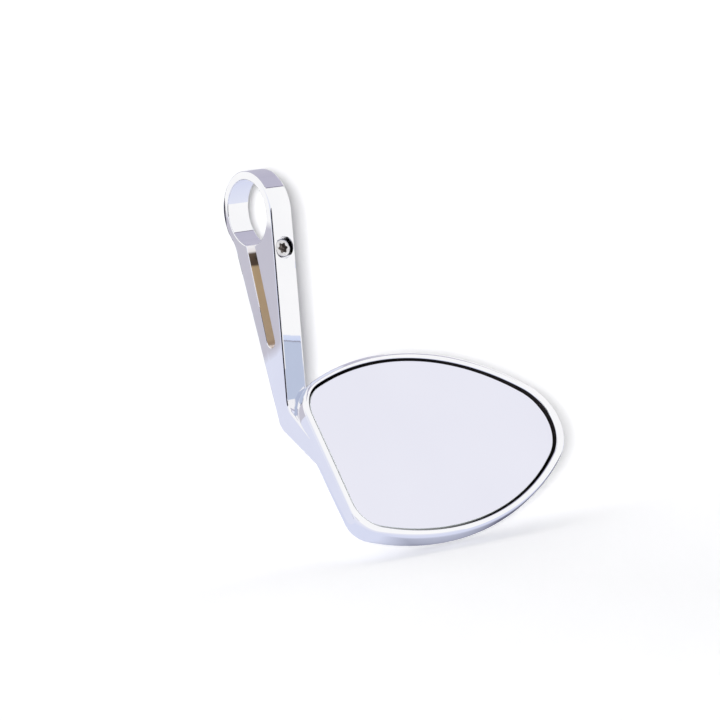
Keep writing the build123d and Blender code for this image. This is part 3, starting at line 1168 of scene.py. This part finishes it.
# Rays that see the white background: the eye's, and those that metal and glass send on
def whiteRays(nodes, links):
    rays = nodes.new("ShaderNodeLightPath")
    first = nodes.new("ShaderNodeMath")
    first.operation = "MAXIMUM"
    links.new(rays.outputs["Is Camera Ray"], first.inputs[0])
    links.new(rays.outputs["Is Glossy Ray"], first.inputs[1])
    both = nodes.new("ShaderNodeMath")
    both.operation = "MAXIMUM"
    links.new(first.outputs[0], both.inputs[0])
    links.new(rays.outputs["Is Transmission Ray"], both.inputs[1])
    return both.outputs[0]


# Paper sweep: a floor that bends up into a backdrop close behind the head and takes its soft shadow
def makeSweep():
    half = studio["paperSize"] / 2
    bend = studio["paperBend"]
    backdrop = studio["backdropPlace"]
    profile = [(-half, 0.0)]
    for k in range(studio["bendSteps"] + 1):
        a = pi / 2 * k / studio["bendSteps"]
        profile.append((backdrop - bend + bend * sin(a), bend * (1 - cos(a))))
    profile.append((backdrop, half))
    points = [(side, along, floorLevel + rise) for along, rise in profile for side in (-half, half)]
    strips = [(2 * k, 2 * k + 1, 2 * k + 3, 2 * k + 2) for k in range(len(profile) - 1)]
    mesh = bpy.data.meshes.new("paperSweep")
    mesh.from_pydata(points, [], strips)
    for strip in mesh.polygons:
        strip.use_smooth = True
    sweep = bpy.data.objects.new("paperSweep", mesh)
    scene.collection.objects.link(sweep)
    return sweep


# Matt white, lifted to white where no shadow falls, and clear from its back
def paperFinish():
    paper, nodes, links, shader, spread = newFinish("whitePaper")
    colour = studio["paperColour"]
    tone = addNoise(nodes, links, spread, 3.0)
    greyer = tuple(0.99 * c for c in colour)
    links.new(addRamp(nodes, links, tone, greyer, colour), shader.inputs["Base Color"])
    shader.inputs["Roughness"].default_value = 0.9
    shader.inputs["Specular IOR Level"].default_value = 0.0
    shader.inputs["Emission Color"].default_value = (1, 1, 1, 1)
    surface = nodes.new("ShaderNodeNewGeometry")
    facing = nodes.new("ShaderNodeSeparateXYZ")
    links.new(surface.outputs["Normal"], facing.inputs[0])
    lifts = nodes.new("ShaderNodeValToRGB")
    for k, (place, strength) in enumerate(studio["paperLift"]):
        stop = lifts.color_ramp.elements[k] if k < 2 else lifts.color_ramp.elements.new(place)
        stop.position = place
        stop.color = (strength, strength, strength, 1)
    links.new(facing.outputs["Z"], lifts.inputs["Fac"])
    across = nodes.new("ShaderNodeSeparateXYZ")
    links.new(spread, across.inputs[0])
    further = nodes.new("ShaderNodeMapRange")
    further.inputs["From Min"].default_value = studio["farFrom"]
    further.inputs["From Max"].default_value = studio["farTo"]
    further.inputs["To Max"].default_value = studio["farLift"]
    links.new(across.outputs["X"], further.inputs["Value"])
    total = nodes.new("ShaderNodeMath")
    links.new(lifts.outputs["Color"], total.inputs[0])
    links.new(further.outputs["Result"], total.inputs[1])
    lift = nodes.new("ShaderNodeMath")
    lift.operation = "MULTIPLY"
    links.new(total.outputs[0], lift.inputs[0])
    links.new(whiteRays(nodes, links), lift.inputs[1])
    links.new(lift.outputs[0], shader.inputs["Emission Strength"])
    clearBehind(nodes, links, shader.outputs["BSDF"], nodes["Material Output"])
    return paper


sweep = makeSweep()
sweep.data.materials.append(paperFinish())
sweep.visible_glossy = False  # metal sees the white world and the cards instead
sweep.visible_shadow = False  # the rear lamp shines through to the floor


# World: white to the eye and in reflections, a softer fill on matt surfaces
def lightWorld():
    world = bpy.data.worlds.new("studioWorld")
    world.use_nodes = True
    scene.world = world
    nodes, links = world.node_tree.nodes, world.node_tree.links
    nodes.clear()
    fill = nodes.new("ShaderNodeBackground")
    fill.inputs["Color"].default_value = (0.97, 0.97, 1.0, 1)
    fill.inputs["Strength"].default_value = studio["fill"]
    white = nodes.new("ShaderNodeBackground")
    white.inputs["Color"].default_value = (1, 1, 1, 1)
    white.inputs["Strength"].default_value = 1.0
    pick = nodes.new("ShaderNodeMixShader")
    links.new(whiteRays(nodes, links), pick.inputs[0])
    links.new(fill.outputs[0], pick.inputs[1])
    links.new(white.outputs[0], pick.inputs[2])
    output = nodes.new("ShaderNodeOutputWorld")
    links.new(pick.outputs[0], output.inputs["Surface"])


lightWorld()

# Soft lamp beside the camera, and one behind that throws a shadow forward on the floor
lamps = {
    "softLamp": {
        "power": 50.0, "size": 0.20, "distance": 2.2,
        "direction": cameraBack - cameraRight * 0.053 + cameraUp * 0.01,
    },
    "rearLamp": {"power": 13.0, "size": 1.6, "distance": 1.5, "direction": Vector((0.33, 0.46, 0.82))},
}
for lampName, lampSet in lamps.items():
    lampData = bpy.data.lights.new(lampName, "AREA")
    lampData.energy = lampSet["power"]
    lampData.size = lampSet["size"]
    lamp = bpy.data.objects.new(lampName, lampData)
    lamp.location = Vector(studio["lookAt"]) + lampSet["direction"] * lampSet["distance"]
    lamp.rotation_mode = "QUATERNION"
    lamp.rotation_quaternion = (-lampSet["direction"]).to_track_quat("-Z", "Y")
    lamp.visible_glossy = False
    scene.collection.objects.link(lamp)
print("studio set")
